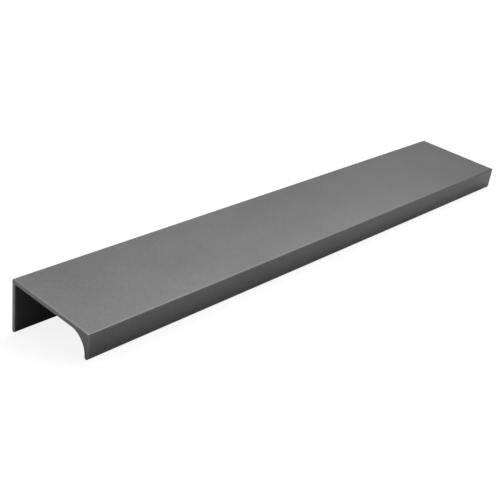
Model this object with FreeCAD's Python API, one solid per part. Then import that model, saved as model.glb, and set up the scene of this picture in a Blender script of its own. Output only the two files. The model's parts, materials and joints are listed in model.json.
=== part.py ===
import FreeCAD, Part
import math
import os

# Finger pull profile: one length of extruded aluminium for the edge of a cabinet front.
# The plate caps the edge, the flange screws to the back of the front, and the lip stands clear of its
# face, with a cove behind it that the fingers hook into.
# The profile lies along X, its lip to -Y, and it rests on the floor on the tips of its flange and lip.

# Driving dimensions, in millimetres and degrees
LENGTH = 240.0                  # from sawn end to sawn end
WIDTH = 40.0                    # from the flange's back face to the lip's front face
FLANGE_HEIGHT = 20.5            # from the top of the plate to the flange's tip
LIP_HEIGHT = 9.5                # from the top of the plate to the lip's tip
WALL = 1.5                      # plate, flange and the thin end of the lip
LIP_LAND = 0.25                 # straight stretch between the cove and the lip's rounded tip
EDGE_RADIUS = 0.4               # rounding of the two long top edges
CORNER_RADIUS = 0.5             # fillet between the plate and the flange
END_BREAK = 0.1                 # chamfer round each sawn end, smaller than EDGE_RADIUS
HOLE_END_MARGIN = 24.0          # from each end to the screw hole nearest to it
HOLE_DIAMETER = 4.2             # clearance for a 4 mm screw
COUNTERSINK_DIAMETER = 6.6      # at the flange's back face
COUNTERSINK_ANGLE = 90.0        # included angle of the screw's head

# Worked out from the driving dimensions
TIP_RADIUS = WALL / 2
COVE_RADIUS = LIP_HEIGHT - WALL - LIP_LAND - TIP_RADIUS
HOLE_SPACING = LENGTH - 2 * HOLE_END_MARGIN
HOLE_DROP = (WALL + FLANGE_HEIGHT) / 2
COUNTERSINK_SLOPE = math.tan(math.radians(COUNTERSINK_ANGLE / 2))
REST_TILT = math.degrees(math.atan2(FLANGE_HEIGHT - LIP_HEIGHT, WIDTH - WALL))

# Directions of the profile before it is tipped onto the floor
ALONG = FreeCAD.Vector(1, 0, 0)
FORWARD = FreeCAD.Vector(0, -1, 0)
CENTRE = FreeCAD.Vector(0, 0, 0)


def section_point(depth, height):
    """A point of the section: depth is forward of the flange's back face, height is above the top."""
    return FreeCAD.Vector(-LENGTH / 2, -depth, height)


def section_arc(depth, height, radius, start, end):
    """An arc about a centre in the section, from one angle to another. Angle 0 points forward."""
    points = []
    for angle in (start, (start + end) / 2, end):
        turn = math.radians(angle)
        points.append(section_point(depth + radius * math.cos(turn), height + radius * math.sin(turn)))
    return Part.Arc(*points)


def section_face():
    """The section of the extrusion: its rounded corners in order, joined by straight walls."""
    cove_depth = WIDTH - WALL - COVE_RADIUS
    inset = WALL + CORNER_RADIUS
    flange_tip = section_arc(TIP_RADIUS, TIP_RADIUS - FLANGE_HEIGHT, TIP_RADIUS, 0, -180)
    back_edge = section_arc(EDGE_RADIUS, -EDGE_RADIUS, EDGE_RADIUS, 180, 90)
    front_edge = section_arc(WIDTH - EDGE_RADIUS, -EDGE_RADIUS, EDGE_RADIUS, 90, 0)
    lip_tip = section_arc(WIDTH - TIP_RADIUS, TIP_RADIUS - LIP_HEIGHT, TIP_RADIUS, 0, -180)
    cove = section_arc(cove_depth, -WALL - COVE_RADIUS, COVE_RADIUS, 0, 90)
    inner_corner = section_arc(inset, -inset, CORNER_RADIUS, 90, 180)
    corners = [flange_tip, back_edge, front_edge, lip_tip, cove, inner_corner]
    edges = []
    for corner, following in zip(corners, corners[1:] + corners[:1]):
        edges.append(corner.toShape())
        edges.append(Part.LineSegment(corner.EndPoint, following.StartPoint).toShape())
    return Part.Face(Part.Wire(edges))


def break_ends(bar):
    """Chamfer every edge that lies in one of the two sawn ends."""
    end_edges = [edge for edge in bar.Edges if edge.BoundBox.XLength < END_BREAK]
    return bar.makeChamfer(END_BREAK, end_edges)


def screw_hole(along):
    """The cutter of one countersunk hole, driven through the flange from its back face."""
    mouth = FreeCAD.Vector(along, 0, -HOLE_DROP)
    bore_radius = HOLE_DIAMETER / 2
    head_radius = COUNTERSINK_DIAMETER / 2
    sink_depth = (head_radius - bore_radius) / COUNTERSINK_SLOPE
    start = mouth - FORWARD * WALL
    shank = Part.makeCylinder(bore_radius, 3 * WALL, start, FORWARD)
    start_radius = head_radius + WALL * COUNTERSINK_SLOPE
    head = Part.makeCone(start_radius, bore_radius, WALL + sink_depth, start, FORWARD)
    return shank.fuse(head)


def rest_on_floor(bar):
    """Tip the bar forward until both tips touch the floor, and centre it over the origin."""
    bar.rotate(CENTRE, ALONG, REST_TILT)
    box = bar.optimalBoundingBox(False, False)
    bar.translate(FreeCAD.Vector(-box.Center.x, -box.Center.y, -box.ZMin))
    return bar


def finger_pull_profile():
    """The finished profile: extruded, sawn, drilled and laid on the floor."""
    bar = break_ends(section_face().extrude(ALONG * LENGTH))
    for along in (-HOLE_SPACING / 2, HOLE_SPACING / 2):
        bar = bar.cut(screw_hole(along))
    return rest_on_floor(bar.Solids[0])


def main():
    os.makedirs("parts", exist_ok=True)
    finger_pull_profile().exportStep("parts/finger_pull_profile.step")


if __name__ == "__main__":
    main()
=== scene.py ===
import json
import math
from collections import namedtuple

import bmesh
import bpy
from bpy.props import FloatProperty, FloatVectorProperty, IntProperty, PointerProperty
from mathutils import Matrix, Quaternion, Vector


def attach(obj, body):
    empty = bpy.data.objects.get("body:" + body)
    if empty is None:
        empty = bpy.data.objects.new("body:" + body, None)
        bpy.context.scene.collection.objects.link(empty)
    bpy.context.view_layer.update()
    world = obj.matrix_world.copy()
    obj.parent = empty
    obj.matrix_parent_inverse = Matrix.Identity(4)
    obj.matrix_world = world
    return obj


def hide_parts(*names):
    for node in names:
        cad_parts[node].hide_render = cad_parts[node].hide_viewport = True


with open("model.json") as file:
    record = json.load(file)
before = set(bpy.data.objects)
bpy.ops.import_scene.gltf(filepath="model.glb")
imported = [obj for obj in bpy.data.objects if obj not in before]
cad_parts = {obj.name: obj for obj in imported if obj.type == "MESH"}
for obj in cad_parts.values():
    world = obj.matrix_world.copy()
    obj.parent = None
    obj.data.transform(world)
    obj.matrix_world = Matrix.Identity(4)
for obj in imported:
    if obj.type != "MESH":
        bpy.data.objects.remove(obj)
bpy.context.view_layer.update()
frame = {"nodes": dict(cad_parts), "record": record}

bl_info = {
    "name": "Finger Pull Profile",
    "version": (1, 0, 0),
    "blender": (4, 5, 0),
    "location": "3D View > Sidebar > Finger Pull",
    "description": "Builds an extruded finger pull in dark satin anodised aluminium and lights it",
    "category": "Object",
}

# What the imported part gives: directions of the section, and sizes measured on its solid
NODE = "finger_pull_profile"
MOUNTS = {mount["name"]: mount for mount in frame["record"]["mounts"]}
ALONG = Vector((1, 0, 0))
FORWARD = Vector(MOUNTS["panel_back"]["axis"]).normalized()
DOWN = Vector(MOUNTS["panel_edge"]["axis"]).normalized()
MM = 0.001

# How finely the mesh and the noises are divided
# Edges are painted lighter along a mask: partly rubbing, partly a painted highlight.
SHORT_WALL = 4              # a wall shorter than this many fades of edge wear stays whole
PATCH_SHARE = 1.5           # half the side of the patch round a screw hole, over the countersink's radius
PATCH_CORNERS = 4
GRAIN_DETAIL = 2.0          # finer octaves of each noise
LINE_DETAIL = 1.0
CLOUD_DETAIL = 3.0
RUB_AND_HIGHLIGHT_DETAIL = 2.0
FLOOR_SEGMENTS = 64

# Nearest and farthest that the camera sees, in metres
CAMERA_REACH = (0.01, 100.0)


def cad_reach(direction, beyond=-math.inf):
    """Least and greatest reach of the solid along a direction, of points further forward than beyond."""
    corners = [vertex.co for vertex in frame["nodes"][NODE].data.vertices]
    reaches = [direction.dot(corner) for corner in corners if FORWARD.dot(corner) > beyond]
    return min(reaches), max(reaches)


BACK, FRONT = cad_reach(FORWARD)
TOP, FLANGE_TIP = cad_reach(DOWN)
LIP_TIP = cad_reach(DOWN, beyond=(BACK + FRONT) / 2)[1]
LEFT, RIGHT = cad_reach(ALONG)
SCREWS = MOUNTS["screw_holes"]


def length_property(name, description, default):
    """A size in metres, shown in the scene's own length unit."""
    return FloatProperty(
        name=name, description=description, default=default, min=0.0, unit="LENGTH", precision=5
    )


class ProfileSizes(bpy.types.PropertyGroup):
    """Sizes of the extrusion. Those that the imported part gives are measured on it."""

    length: length_property("Length", "From sawn end to sawn end", RIGHT - LEFT)
    width: length_property("Width", "From the flange's back to the lip's front", FRONT - BACK)
    flange_height: length_property("Flange height", "From the top to the flange's tip", FLANGE_TIP - TOP)
    lip_height: length_property("Lip height", "From the top to the lip's tip", LIP_TIP - TOP)
    wall: length_property(
        "Wall", "Thickness of plate and flange", FORWARD.dot(Vector(MOUNTS["panel_back"]["pos_m"])) - BACK
    )
    lip_land: length_property("Lip land", "Straight stretch between the cove and the lip's tip", 0.25 * MM)
    edge_radius: length_property("Edge radius", "Rounding of the two long top edges", 0.4 * MM)
    corner_radius: length_property("Corner radius", "Fillet between plate and flange", 0.5 * MM)
    end_break: length_property("End break", "Rounding round each sawn end", 0.1 * MM)
    hole_spacing: length_property("Hole spacing", "Between the screw holes", SCREWS["dims"]["pcd_mm"] * MM)
    hole_radius: length_property("Hole radius", "Of a screw hole", SCREWS["dims"]["hole_r_mm"] * MM)
    hole_drop: length_property(
        "Hole drop", "From the top to the screw holes", DOWN.dot(Vector(SCREWS["pos_m"])) - TOP
    )
    sink_radius: length_property("Countersink radius", "At the flange's back face", 3.3 * MM)
    # The two fades below spread the lighter edge colour, rubbing and painted highlight alike.
    wear_and_highlight_fade: length_property("Wear fade", "How far edge wear reaches onto a flat", 0.9 * MM)
    end_fade: length_property(
        "End fade", "How far edge wear reaches onto a sawn end, within the edge radius", 0.25 * MM
    )
    round_steps: IntProperty(name="Round steps", description="Facets of a small rounding", default=8, min=2)
    cove_steps: IntProperty(name="Cove steps", description="Facets of the cove", default=32, min=4)
    hole_steps: IntProperty(name="Hole steps", description="Facets of a screw hole", default=48, min=8)
    span_steps: IntProperty(
        name="Span steps", description="Divisions between the screw holes", default=16, min=1
    )


def colour_property(name, description, grey):
    """A neutral colour, as the finish and the stage are both plain greys."""
    return FloatVectorProperty(
        name=name, description=description, subtype="COLOR", size=3, default=(grey,) * 3
    )


def share_property(name, description, default):
    """A share from 0 to 1."""
    return FloatProperty(
        name=name, description=description, subtype="FACTOR", default=default, min=0.0, max=1.0
    )


def place_property(name, description, default):
    """A point in metres."""
    return FloatVectorProperty(
        name=name, description=description, subtype="TRANSLATION", unit="LENGTH", size=3, default=default
    )


def breadth_property(name, description, default):
    """A breadth and a height in metres."""
    return FloatVectorProperty(
        name=name, description=description, unit="LENGTH", size=2, default=default, min=0.0
    )


def power_property(name, description, default):
    """The power of a lamp in watts."""
    return FloatProperty(name=name, description=description, default=default, min=0.0, unit="POWER")


class AnodisedFinish(bpy.types.PropertyGroup):
    """Colour and surface of the dark satin anodising, with painted light on the sawn ends and a painted
    highlight along the edges besides their rubbing.
    """

    colour: colour_property("Colour", "Anodised colour", 0.25)
    # The next two: lighter colour along the edges, partly rubbing and partly a painted highlight, and its
    # share on the long edges.
    wear_and_highlight_colour: colour_property("Worn colour", "Colour along rubbed edges", 0.5)
    long_edge_wear_and_highlight: share_property("Long edge wear", "Wear of the long edges over that of the sawn ends", 0.2)
    # Sawn ends painted lighter than the body: painted light on the ends, not a different anodising.
    sawn_painted_light_colour: colour_property("Sawn colour", "Anodised colour of the sawn ends", 0.3)
    roughness: share_property("Roughness", "Middle of the satin sheen", 0.40)
    oxide: share_property("Oxide", "Weight of the clear oxide layer over the dye", 1.0)
    oxide_roughness: share_property("Oxide roughness", "Roughness of that layer", 0.35)
    oxide_index: FloatProperty(
        name="Oxide index", description="Refractive index of that layer", default=1.65, min=1.0
    )
    sheen_change: share_property("Sheen change", "How far the grain takes the roughness up and down", 0.06)
    mottle: share_property("Mottle", "Colour variation of the dye", 0.15)
    mottle_size: length_property("Mottle size", "Breadth of the dye's clouds", 16.0 * MM)
    grain_tone: share_property("Grain tone", "Colour variation of the etched grain", 0.3)
    grain_size: length_property("Grain size", "Pits of the etched surface", 0.8 * MM)
    grain_height: length_property("Grain height", "Depth of those pits", 0.004 * MM)
    line_width: length_property("Die line width", "Lines that the die leaves along the length", 0.5 * MM)
    line_height: length_property("Die line height", "Depth of those lines", 0.0015 * MM)
    line_stretch: FloatProperty(
        name="Die line stretch", description="Length of a die line over its width", default=100.0, min=1.0
    )
    saw_pitch: length_property("Saw pitch", "Between the marks on the sawn ends", 0.3 * MM)
    saw_height: length_property("Saw height", "Depth of those marks", 0.004 * MM)
    saw_stretch: FloatProperty(
        name="Saw stretch", description="Length of a saw mark over its width", default=30.0, min=1.0
    )
    # Patches of the lighter edge colour, rubbing and painted highlight alike.
    rub_and_highlight_size: length_property("Rub size", "Breadth of the patches of edge wear", 1.1 * MM)


class StudioStage(bpy.types.PropertyGroup):
    """Floor, lights and camera."""

    floor_colour: colour_property("Floor colour", "Plain pale floor", 0.8)
    floor_shade: colour_property("Floor shade", "How much of its shading shows in the picture", 0.4)
    floor_glow: colour_property("Floor glow", "What brightens the floor in the picture", 0.865)
    backdrop: colour_property("Backdrop", "What the floor fades into", 1.0)
    fade_start: length_property("Fade start", "Where the floor starts to fade into the backdrop", 0.2)
    fade_end: length_property("Fade end", "Where it is as bright as the backdrop", 1.2)
    floor_radius: length_property("Floor radius", "Reach of the floor", 12.0)
    room_strength: FloatProperty(
        name="Room strength", description="Even light of the room", default=0.04, min=0.0
    )
    key_place: place_property(
        "Key place", "Softbox above the right end and the front", (0.500, -0.134, 0.797)
    )
    key_size: breadth_property("Key size", "Breadth and height of that softbox", (1.2, 0.8))
    key_power: power_property("Key power", "Power of that softbox", 3.17)
    top_place: place_property("Top place", "Softbox above the right end", (0.416, 0.0, 0.854))
    top_size: breadth_property("Top size", "Breadth and height of that softbox", (1.6, 0.8))
    top_power: power_property("Top power", "Power of that softbox", 1.17)
    rear_place: place_property("Rear place", "Softbox above the rear", (0.0, 0.380, 0.816))
    rear_size: breadth_property("Rear size", "Breadth and height of that softbox", (0.85, 0.85))
    rear_power: power_property("Rear power", "Power of that softbox", 0.50)
    side_place: place_property(
        "Side place", "Softbox above the left end and the rear", (-0.345, 0.597, 0.579)
    )
    side_size: breadth_property("Side size", "Breadth and height of that softbox", (0.85, 0.6))
    side_power: power_property("Side power", "Power of that softbox", 0.64)
    back_place: place_property("Back place", "Low softbox behind the flange", (0.0, 0.961, 0.276))
    back_size: breadth_property("Back size", "Breadth and height of that softbox", (2.0, 0.55))
    back_power: power_property("Back power", "Power of that softbox", 1.38)
    left_place: place_property("Left place", "Softbox above the left end", (-0.689, 0.0, 0.579))
    left_size: breadth_property("Left size", "Breadth and height of that softbox", (0.85, 0.6))
    left_power: power_property("Left power", "Power of that softbox", 0.32)
    eye: place_property("Camera", "Where the camera stands", (-0.26797, -0.23951, 0.11255))
    target: place_property("Target", "Point at the middle of the picture", (-0.035069, -0.008863, 0.009902))
    roll: FloatProperty(
        name="Roll", description="Turn of the camera about its line of sight", subtype="ANGLE",
        default=math.radians(-4.578)
    )
    lens: FloatProperty(
        name="Lens", description="Focal length on a 36 mm sensor", subtype="DISTANCE_CAMERA",
        default=66.43, min=1
    )


SectionPoint = namedtuple("SectionPoint", "depth drop outward wear")


def row_point(along, depth, drop):
    """A point of the row frame: depth is forward of the flange's back face, drop is below the top."""
    return ALONG * along + FORWARD * (BACK + depth) + DOWN * (TOP + drop)


def corner_points(depth, drop, radius, start, end, steps, hollow=False, wear=0.0):
    """A rounded corner of the section about its centre. Angle 0 points forward and 90 up."""
    points = []
    for step in range(steps + 1):
        angle = math.radians(start + (end - start) * step / steps)
        reach = Vector((math.cos(angle), -math.sin(angle)))
        outward = -reach if hollow else reach
        points.append(SectionPoint(depth + radius * reach.x, drop + radius * reach.y, outward, wear))
    return points


def wall_points(start, end, shares):
    """Points on the wall from one corner's end to the next corner's start, at shares of its length."""
    points = []
    for share in shares:
        depth = start.depth + (end.depth - start.depth) * share
        drop = start.drop + (end.drop - start.drop) * share
        points.append(SectionPoint(depth, drop, start.outward, 0.0))
    return points


def wall_shares(start, end, sizes):
    """Where a wall is divided: past the fade of the lighter edge colour, rubbing and painted highlight, and
    beside the screw holes on the flange.
    """
    run = Vector((end.depth - start.depth, end.drop - start.drop))
    if run.length < SHORT_WALL * sizes.wear_and_highlight_fade:
        return []
    fade = sizes.wear_and_highlight_fade / run.length
    shares = [fade, 1 - fade]
    on_flange = start.depth < sizes.wall + sizes.wear_and_highlight_fade and abs(run.x) < sizes.wear_and_highlight_fade
    if on_flange:
        for side in (-1, 1):
            shares.append((sizes.hole_drop + side * patch_reach(sizes) - start.drop) / run.y)
    return sorted(shares)


def patch_reach(sizes):
    """Half the side of the square patch of flange round a screw hole."""
    return PATCH_SHARE * sizes.sink_radius


def section_outline(sizes):
    """The section's outline: six rounded corners in order, joined by straight walls."""
    wall, edge, small = sizes.wall, sizes.edge_radius, sizes.round_steps
    tip = wall / 2
    cove = sizes.lip_height - wall - sizes.lip_land - tip
    cove_depth = sizes.width - wall - cove
    inset = wall + sizes.corner_radius
    corners = [
        # Tips and long top edges carry the edge mask: painted lighter, partly rubbing, partly a painted
        # highlight.
        corner_points(tip, sizes.flange_height - tip, tip, 0, -180, 2 * small, wear=1.0),
        corner_points(edge, edge, edge, 180, 90, small, wear=1.0),
        corner_points(sizes.width - edge, edge, edge, 90, 0, small, wear=1.0),
        corner_points(sizes.width - tip, sizes.lip_height - tip, tip, 0, -180, 2 * small, wear=1.0),
        corner_points(cove_depth, wall + cove, cove, 0, 90, sizes.cove_steps, hollow=True),
        corner_points(inset, inset, sizes.corner_radius, 90, 180, small, hollow=True),
    ]
    outline = []
    for corner, following in zip(corners, corners[1:] + corners[:1]):
        start, end = corner[-1], following[0]
        outline += corner + wall_points(start, end, wall_shares(start, end, sizes))
    return outline


def stations(sizes):
    """Places along the length, each with how far the section is drawn in there and its share of the lighter
    edge colour, rubbing and painted highlight.
    """
    half, rounding = sizes.length / 2, sizes.end_break
    hole, reach = sizes.hole_spacing / 2, patch_reach(sizes)
    plain = (hole - reach, hole + reach, half - rounding - sizes.wear_and_highlight_fade)
    right = [(along, 0.0, 0.0) for along in plain]
    # The end rounding carries the full edge mask: rubbing and a painted highlight.
    for step in range(sizes.round_steps + 1):
        angle = math.pi / 2 * step / sizes.round_steps
        along = half - rounding + rounding * math.sin(angle)
        right.append((along, rounding * (1 - math.cos(angle)), 1.0))
    right.append((half, rounding + sizes.end_fade, 0.0))
    left = [(-along, inset, wear) for along, inset, wear in reversed(right)]
    middle = []
    for step in range(1, sizes.span_steps):
        share = 2 * step / sizes.span_steps - 1
        middle.append(((hole - reach) * share, 0.0, 0.0))
    return left + middle + right


def extruded_bar(mesh, wear_and_highlight_layer, sizes, long_edge_wear_and_highlight):
    """The bar without its holes: a ring of the section at each station, skinned and capped."""
    outline = section_outline(sizes)
    rings = []
    for along, inset, station_wear_and_highlight in stations(sizes):
        ring = []
        for point in outline:
            depth = point.depth - inset * point.outward.x
            drop = point.drop - inset * point.outward.y
            vertex = mesh.verts.new(row_point(along, depth, drop))
            # The vertex mask of the lighter edges: rubbing and painted highlight.
            vertex[wear_and_highlight_layer] = max(point.wear * long_edge_wear_and_highlight, station_wear_and_highlight)
            ring.append(vertex)
        rings.append(ring)
    count = len(outline)
    for ring, following in zip(rings, rings[1:]):
        for i in range(count):
            j = (i + 1) % count
            mesh.faces.new((ring[i], ring[j], following[j], following[i]))
    mesh.faces.new(reversed(rings[0]))
    mesh.faces.new(rings[-1])


def hole_ring(mesh, along, depth, radius, sizes):
    """A ring of points round a screw hole's axis, starting towards a corner of its patch."""
    ring = []
    for step in range(sizes.hole_steps):
        angle = math.pi / PATCH_CORNERS + 2 * math.pi * step / sizes.hole_steps
        place = row_point(
            along + radius * math.cos(angle), depth, sizes.hole_drop - radius * math.sin(angle)
        )
        ring.append(mesh.verts.new(place))
    return ring


def open_patch(mesh, ring, along, depth, sizes):
    """Replace the square of flange round a hole with faces from its four corners to the hole's ring."""
    centre = row_point(along, depth, sizes.hole_drop)
    patch = min(mesh.faces, key=lambda face: (face.calc_center_median() - centre).length)
    if (patch.calc_center_median() - centre).length > sizes.hole_radius:
        raise RuntimeError("No square patch of the flange is centred on the screw hole")
    corners = []
    quarter = sizes.hole_steps // PATCH_CORNERS
    for side in range(PATCH_CORNERS):
        start = ring[side * quarter]
        corners.append(min(patch.verts, key=lambda vertex: (vertex.co - start.co).length))
    mesh.faces.remove(patch)
    for side in range(PATCH_CORNERS):
        arc = [ring[(side * quarter + step) % sizes.hole_steps] for step in range(quarter + 1)]
        mesh.faces.new([corners[side], corners[(side + 1) % PATCH_CORNERS], *reversed(arc)])


def screw_hole(mesh, along, sizes):
    """One countersunk hole through the flange, with crisp rims."""
    sink_depth = sizes.sink_radius - sizes.hole_radius
    mouth = hole_ring(mesh, along, 0.0, sizes.sink_radius, sizes)
    throat = hole_ring(mesh, along, sink_depth, sizes.hole_radius, sizes)
    exit_ring = hole_ring(mesh, along, sizes.wall, sizes.hole_radius, sizes)
    open_patch(mesh, mouth, along, 0.0, sizes)
    open_patch(mesh, exit_ring, along, sizes.wall, sizes)
    for ring, following in ((mouth, throat), (throat, exit_ring)):
        for i in range(sizes.hole_steps):
            j = (i + 1) % sizes.hole_steps
            mesh.faces.new((ring[i], ring[j], following[j], following[i]))
    for ring in (mouth, throat, exit_ring):
        for i in range(sizes.hole_steps):
            mesh.edges.get((ring[i], ring[i - 1])).smooth = False


def add_node(tree, kind, settings=None, **inputs):
    """A new node with its settings, each input fixed or joined to a socket. Underscores stand for spaces."""
    node = tree.nodes.new(kind)
    for name, value in (settings or {}).items():
        setattr(node, name, value)
    for name, value in inputs.items():
        socket = node.inputs[name.replace("_", " ")]
        if isinstance(value, bpy.types.NodeSocket):
            tree.links.new(value, socket)
        else:
            socket.default_value = value
    return node


def noise_value(tree, place, size, detail, stretch=(1.0, 1.0, 1.0)):
    """Noise whose patches have a size in metres, drawn out along the axes where a stretch is given."""
    scale = [1.0 / (size * factor) for factor in stretch]
    place = add_node(tree, "ShaderNodeMapping", Vector=place, Scale=scale).outputs["Vector"]
    return add_node(tree, "ShaderNodeTexNoise", Vector=place, Scale=1.0, Detail=detail).outputs["Fac"]


def multiply(tree, first, second):
    """The product of two values."""
    node = add_node(tree, "ShaderNodeMath", {"operation": "MULTIPLY"})
    tree.links.new(first, node.inputs[0])
    tree.links.new(second, node.inputs[1])
    return node.outputs["Value"]


def varied(tree, value, middle, change):
    """A noise brought to run from middle - change to middle + change."""
    node = add_node(tree, "ShaderNodeMapRange", Value=value, To_Min=middle - change, To_Max=middle + change)
    return node.outputs["Result"]


def mixed_colour(tree, factor, first, second, blend="MIX"):
    """A blend of two colours, each a socket or fixed."""
    settings = {"data_type": "RGBA", "blend_type": blend}
    return add_node(tree, "ShaderNodeMix", settings, Factor=factor, A=first, B=second).outputs["Result"]


def opaque(colour):
    """A colour with the alpha that node sockets ask for."""
    return [*colour, 1.0]


def sawn_end(tree):
    """1 on the two sawn ends, 0 elsewhere."""
    normal = add_node(tree, "ShaderNodeNewGeometry").outputs["True Normal"]
    split = add_node(tree, "ShaderNodeSeparateXYZ", Vector=normal)
    return multiply(tree, split.outputs["X"], split.outputs["X"])


def anodised_aluminium(finish):
    """Dark satin anodising: an etched grain, faint die lines, saw marks, a slight mottle, sawn ends painted
    lighter as painted light, and edges painted lighter, partly rubbing and partly a painted highlight.
    """
    material = bpy.data.materials.new("dark_satin_anodising")
    material.use_nodes = True
    tree = material.node_tree
    shader = tree.nodes["Principled BSDF"]
    place = add_node(tree, "ShaderNodeTexCoord").outputs["Object"]
    grain = noise_value(tree, place, finish.grain_size, GRAIN_DETAIL)
    lines = noise_value(tree, place, finish.line_width, LINE_DETAIL, (finish.line_stretch, 1.0, 1.0))
    marks = noise_value(tree, place, finish.saw_pitch, LINE_DETAIL, (1.0, finish.saw_stretch, 1.0))
    clouds = noise_value(tree, place, finish.mottle_size, CLOUD_DETAIL)
    cut = sawn_end(tree)
    # Edge mask from the mesh, broken into patches by noise: lighter edges, partly rubbing, partly a painted
    # highlight.
    rubbed_and_highlit = add_node(tree, "ShaderNodeAttribute", {"attribute_name": "wear"}).outputs["Fac"]
    patchy_wear_and_highlight = multiply(tree, rubbed_and_highlit, noise_value(tree, place, finish.rub_and_highlight_size, RUB_AND_HIGHLIGHT_DETAIL))

    dark = [channel * (1 - finish.mottle) for channel in finish.colour]
    light = [channel * (1 + finish.mottle) for channel in finish.colour]
    dye_and_end_light = mixed_colour(tree, clouds, opaque(dark), opaque(light))
    # Paints the sawn ends lighter, as painted light on them.
    dye_and_end_light = mixed_colour(tree, cut, dye_and_end_light, opaque(finish.sawn_painted_light_colour))
    speckled = mixed_colour(tree, 1.0, dye_and_end_light, varied(tree, grain, 1.0, finish.grain_tone), "MULTIPLY")
    # Paints the edges lighter: rubbing plus a painted highlight.
    colour = mixed_colour(tree, patchy_wear_and_highlight, speckled, opaque(finish.wear_and_highlight_colour))
    lined = add_node(tree, "ShaderNodeBump", Height=lines, Distance=finish.line_height)
    sawn = add_node(
        tree, "ShaderNodeBump", Height=multiply(tree, marks, cut), Distance=finish.saw_height,
        Normal=lined.outputs["Normal"]
    )
    etched = add_node(
        tree, "ShaderNodeBump", Height=grain, Distance=finish.grain_height, Normal=sawn.outputs["Normal"]
    )
    tree.links.new(colour, shader.inputs["Base Color"])
    tree.links.new(varied(tree, grain, finish.roughness, finish.sheen_change), shader.inputs["Roughness"])
    tree.links.new(etched.outputs["Normal"], shader.inputs["Normal"])
    shader.inputs["Metallic"].default_value = 1.0
    shader.inputs["Coat Weight"].default_value = finish.oxide
    shader.inputs["Coat Roughness"].default_value = finish.oxide_roughness
    shader.inputs["Coat IOR"].default_value = finish.oxide_index
    return material


class FINGERPULL_OT_profile(bpy.types.Operator):
    """Build the extruded profile with its cove, rounded edges, sawn ends and countersunk holes"""

    bl_idname = "finger_pull.profile"
    bl_label = "Build Profile"

    def execute(self, context):
        sizes, finish = context.scene.finger_pull_sizes, context.scene.finger_pull_finish
        mesh = bmesh.new()
        # Vertex layer of the lighter edges, rubbing and painted highlight.
        wear_and_highlight_layer = mesh.verts.layers.float.new("wear")
        extruded_bar(mesh, wear_and_highlight_layer, sizes, finish.long_edge_wear_and_highlight)
        for side in (-1, 1):
            screw_hole(mesh, side * sizes.hole_spacing / 2, sizes)
        bmesh.ops.recalc_face_normals(mesh, faces=mesh.faces)
        for face in mesh.faces:
            face.smooth = True
        data = bpy.data.meshes.new("finger_pull")
        mesh.to_mesh(data)
        mesh.free()
        profile = bpy.data.objects.new("finger_pull", data)
        context.scene.collection.objects.link(profile)
        normals = profile.modifiers.new("flat walls", "WEIGHTED_NORMAL")
        normals.keep_sharp = True
        data.materials.append(anodised_aluminium(finish))
        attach(profile, "root")
        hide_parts(NODE)
        return {"FINISHED"}


def camera_sees(tree):
    """1 for what the camera itself sees, 0 for what is mirrored or lit by the way."""
    return add_node(tree, "ShaderNodeLightPath").outputs["Is Camera Ray"]


def mixed_shader(tree, factor, first, second):
    """A blend of two shaders."""
    node = add_node(tree, "ShaderNodeMixShader", Fac=factor)
    tree.links.new(first, node.inputs[1])
    tree.links.new(second, node.inputs[2])
    return node.outputs["Shader"]


def pale_floor(stage):
    """A wide round floor, so that no view sees its edge. It is bright in the picture, with light shadows."""
    mesh = bmesh.new()
    bmesh.ops.create_circle(mesh, cap_ends=True, radius=stage.floor_radius, segments=FLOOR_SEGMENTS)
    data = bpy.data.meshes.new("floor")
    mesh.to_mesh(data)
    mesh.free()
    floor = bpy.data.objects.new("floor", data)
    bpy.context.scene.collection.objects.link(floor)
    material = bpy.data.materials.new("pale_floor")
    material.use_nodes = True
    tree = material.node_tree
    tree.nodes.remove(tree.nodes["Principled BSDF"])
    bounce = add_node(tree, "ShaderNodeBsdfDiffuse", Color=opaque(stage.floor_colour)).outputs["BSDF"]
    shaded = add_node(tree, "ShaderNodeBsdfDiffuse", Color=opaque(stage.floor_shade)).outputs["BSDF"]
    glow = add_node(tree, "ShaderNodeEmission", Color=opaque(stage.floor_glow)).outputs["Emission"]
    near = add_node(tree, "ShaderNodeAddShader")
    tree.links.new(glow, near.inputs[0])
    tree.links.new(shaded, near.inputs[1])
    far = add_node(tree, "ShaderNodeEmission", Color=opaque(stage.backdrop)).outputs["Emission"]
    place = add_node(tree, "ShaderNodeTexCoord").outputs["Object"]
    distance = add_node(tree, "ShaderNodeVectorMath", {"operation": "LENGTH"}, Vector=place).outputs["Value"]
    fade = add_node(
        tree, "ShaderNodeMapRange", {"interpolation_type": "SMOOTHSTEP"}, Value=distance,
        From_Min=stage.fade_start, From_Max=stage.fade_end
    ).outputs["Result"]
    shown = mixed_shader(tree, fade, near.outputs["Shader"], far)
    surface = mixed_shader(tree, camera_sees(tree), bounce, shown)
    tree.links.new(surface, tree.nodes["Material Output"].inputs["Surface"])
    data.materials.append(material)


def room_light(stage):
    """Even light from the room all round, behind a backdrop as bright as the floor."""
    world = bpy.data.worlds.new("room")
    world.use_nodes = True
    tree = world.node_tree
    room = opaque([stage.room_strength] * 3)
    colour = mixed_colour(tree, camera_sees(tree), room, opaque(stage.backdrop))
    tree.links.new(colour, tree.nodes["Background"].inputs["Color"])
    bpy.context.scene.world = world


def softbox(name, place, size, power):
    """A softbox that faces the profile and keeps out of the picture."""
    light = bpy.data.lights.new(name, "AREA")
    light.shape = "RECTANGLE"
    light.size, light.size_y = size
    light.energy = power
    lamp = bpy.data.objects.new(name, light)
    lamp.location = place
    lamp.rotation_mode = "QUATERNION"
    lamp.rotation_quaternion = (-Vector(place)).to_track_quat("-Z", "Y")
    lamp.visible_camera = False
    bpy.context.scene.collection.objects.link(lamp)


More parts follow.
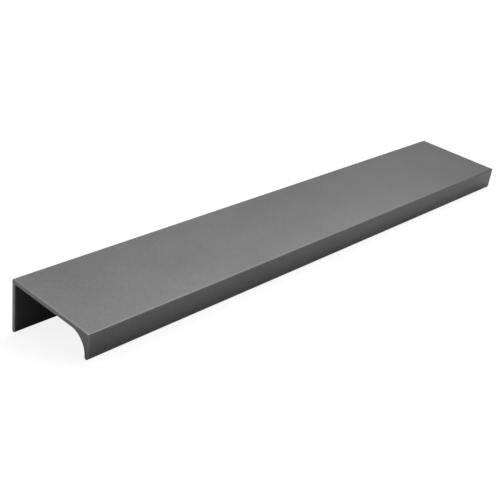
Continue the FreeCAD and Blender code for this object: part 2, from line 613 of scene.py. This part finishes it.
def photo_camera(stage):
    """A level camera aimed at the target, then rolled about its line of sight."""
    data = bpy.data.cameras.new("camera")
    data.lens = stage.lens
    data.clip_start, data.clip_end = CAMERA_REACH
    camera = bpy.data.objects.new("camera", data)
    eye, target = Vector(stage.eye), Vector(stage.target)
    level = (target - eye).to_track_quat("-Z", "Y")
    camera.location = eye
    camera.rotation_mode = "QUATERNION"
    camera.rotation_quaternion = level @ Quaternion((0, 0, 1), stage.roll)
    bpy.context.scene.collection.objects.link(camera)
    bpy.context.scene.camera = camera


class FINGERPULL_OT_stage(bpy.types.Operator):
    """Set out the floor, the studio lights and the camera"""

    bl_idname = "finger_pull.stage"
    bl_label = "Set Stage"

    def execute(self, context):
        stage = context.scene.finger_pull_stage
        pale_floor(stage)
        room_light(stage)
        softbox("key", stage.key_place, stage.key_size, stage.key_power)
        softbox("top", stage.top_place, stage.top_size, stage.top_power)
        softbox("rear", stage.rear_place, stage.rear_size, stage.rear_power)
        softbox("side", stage.side_place, stage.side_size, stage.side_power)
        softbox("back", stage.back_place, stage.back_size, stage.back_power)
        softbox("left", stage.left_place, stage.left_size, stage.left_power)
        photo_camera(stage)
        context.scene.view_settings.view_transform = "Standard"
        return {"FINISHED"}


class FINGERPULL_PT_panel(bpy.types.Panel):
    """The finger pull's sizes, finish and stage, with a button for each step"""

    bl_idname = "FINGERPULL_PT_panel"
    bl_label = "Finger Pull"
    bl_space_type = "VIEW_3D"
    bl_region_type = "UI"
    bl_category = "Finger Pull"

    def draw(self, context):
        steps = (
            (FINGERPULL_OT_profile, (context.scene.finger_pull_sizes, context.scene.finger_pull_finish)),
            (FINGERPULL_OT_stage, (context.scene.finger_pull_stage,)),
        )
        for operator, groups in steps:
            box = self.layout.box()
            for group in groups:
                for name in group.bl_rna.properties.keys():
                    if name not in ("name", "rna_type"):
                        box.prop(group, name)
            box.operator(operator.bl_idname)


CLASSES = (
    ProfileSizes,
    AnodisedFinish,
    StudioStage,
    FINGERPULL_OT_profile,
    FINGERPULL_OT_stage,
    FINGERPULL_PT_panel,
)


def register():
    """Add the classes, and their settings to the scene."""
    for cls in CLASSES:
        bpy.utils.register_class(cls)
    bpy.types.Scene.finger_pull_sizes = PointerProperty(type=ProfileSizes)
    bpy.types.Scene.finger_pull_finish = PointerProperty(type=AnodisedFinish)
    bpy.types.Scene.finger_pull_stage = PointerProperty(type=StudioStage)


def unregister():
    """Take the settings and the classes away again."""
    del bpy.types.Scene.finger_pull_stage
    del bpy.types.Scene.finger_pull_finish
    del bpy.types.Scene.finger_pull_sizes
    for cls in reversed(CLASSES):
        bpy.utils.unregister_class(cls)


def main():
    """Build the profile and set the stage."""
    register()
    bpy.ops.finger_pull.profile()
    bpy.ops.finger_pull.stage()


if __name__ == "__main__":
    main()
